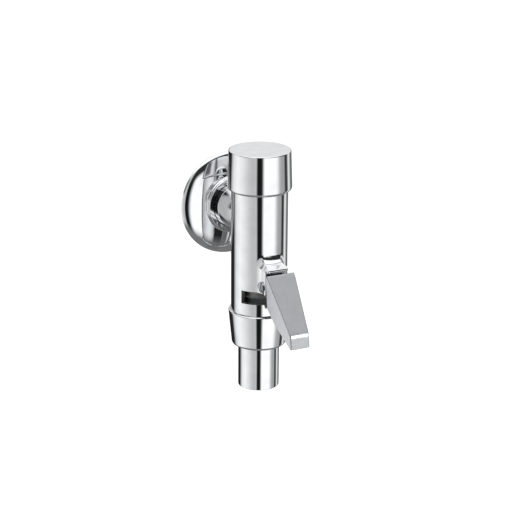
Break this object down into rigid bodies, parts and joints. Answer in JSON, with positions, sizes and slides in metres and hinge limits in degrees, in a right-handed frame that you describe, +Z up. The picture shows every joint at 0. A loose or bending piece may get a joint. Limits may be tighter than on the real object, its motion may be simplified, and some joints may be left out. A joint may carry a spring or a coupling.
{
  "type": "flush valve",
  "caption": "Wall-fed lever flush valve: slim chrome body, domed rosette, satin push lever under a visor, air slot, union nut and flush pipe stub.",
  "frame": {"origin": "on the inlet's axis in the plane of the finished wall", "axes": "+Z up along the body, +Y into the wall along the inlet, -Y towards the user and the lever, +X to the right seen from the front"},
  "size_m": [0.0732, 0.1211, 0.1667],
  "materials": {
    "chromed_brass": "polished",
    "satin_lever_casting": "satin",
    "nickelled_steel": "turned",
    "stainless_wire": "drawn",
    "stainless_sheet": "perforated",
    "bare_brass": "turned",
    "acetal_white": "moulded",
    "acetal_black": "moulded",
    "black_rubber": "matte"
  },
  "bodies": {
    "valve": {"valve_body": "chromed_brass", "top_cap": "chromed_brass", "union_nut": "chromed_brass", "flush_pipe": "chromed_brass", "lever_pin": "nickelled_steel", "piston_spring": "stainless_wire", "plunger_spring": "stainless_wire", "inlet_strainer": "stainless_sheet", "inlet_nipple": "bare_brass", "seat_ring": "bare_brass", "plunger_bush": "bare_brass", "slip_ring": "acetal_white", "interrupter_nozzle": "acetal_black", "cap_seal": "black_rubber", "nozzle_seal": "black_rubber", "cone_seal": "black_rubber", "inlet_washer": "black_rubber", "plunger_seal": "black_rubber"},
    "lever": {"lever": "satin_lever_casting", "lever_bushes": "acetal_white"},
    "plunger": {"plunger": "bare_brass"},
    "piston": {"piston": "acetal_white", "piston_lip_seal": "black_rubber", "main_washer": "black_rubber", "washer_nut": "bare_brass", "bleed_nozzle": "bare_brass", "relief_spring_seat": "acetal_white", "relief_spring": "stainless_wire"},
    "relief": {"relief_valve": "bare_brass", "relief_seal": "black_rubber"},
    "rosette": {"rosette": "chromed_brass", "rosette_ring": "black_rubber"}
  },
  "joints": [
    {"name": "lever_press", "type": "hinge", "parent": "valve", "child": "lever", "pos_m": [0, -0.0671, -0.0404], "axis": [1, 0, 0], "range_deg": [0, 20], "stiffness_Nm_per_rad": 0.1, "springref_deg": -28.65},
    {"name": "plunger_push", "type": "slide", "parent": "valve", "child": "plunger", "axis": [0, 1, 0], "range_m": [0, 0.00202], "deforming": ["plunger_spring"]},
    {"name": "piston_lift", "type": "slide", "parent": "valve", "child": "piston", "axis": [0, 0, 1], "range_m": [0, 0.01], "stiffness_N_per_m": 300, "springref_m": -0.0067, "deforming": ["piston_spring"]},
    {"name": "relief_tilt", "type": "hinge", "parent": "piston", "child": "relief", "pos_m": [0, -0.0517, -0.007], "axis": [1, 0, 0], "range_deg": [0, 3.1], "deforming": ["relief_spring"]},
    {"name": "rosette_slide", "type": "slide", "parent": "valve", "child": "rosette", "axis": [0, -1, 0], "range_m": [0, 0.016]}
  ],
  "couplings": [
    {"joint": "plunger_push", "follows": "lever_press", "m_per_rad": 0.005715},
    {"joint": "relief_tilt", "follows": "lever_press", "ratio": 0.152}
  ]
}
